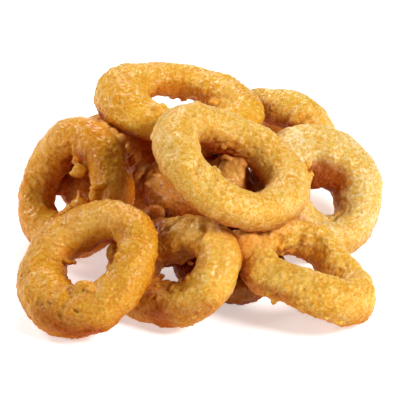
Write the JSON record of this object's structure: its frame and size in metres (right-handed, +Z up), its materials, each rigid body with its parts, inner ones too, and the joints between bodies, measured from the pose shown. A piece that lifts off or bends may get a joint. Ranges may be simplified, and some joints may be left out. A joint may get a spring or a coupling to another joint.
{
  "type": "heap of fried calamari rings",
  "caption": "Loose heap of deep-fried calamari rings in thick, pitted golden batter, lying as they were tipped out, with no dish.",
  "frame": {"origin": "middle of the heap's underside, on the plane that the low rings stand on", "axes": "+Z up; +X to the right and -Y towards the viewer, as the heap is seen from its front"},
  "size_m": [0.1232, 0.125, 0.0599],
  "materials": {
    "batter_pale": "pale gold fried batter, finely pitted, slightly oily",
    "batter": "golden fried batter, finely pitted, slightly oily",
    "batter_browned": "golden-brown fried batter, finely pitted, slightly oily"
  },
  "bodies": {
    "root": {"ring_front_left": "batter", "ring_left": "batter_browned", "ring_top_left": "batter", "ring_top_centre": "batter_pale", "ring_back_right": "batter", "ring_right": "batter_pale", "ring_front_centre": "batter_browned", "ring_front_right": "batter", "ring_low_middle": "batter_browned", "ring_behind_left": "batter_browned", "ring_under_top": "batter_browned"}
  },
  "joints": []
}
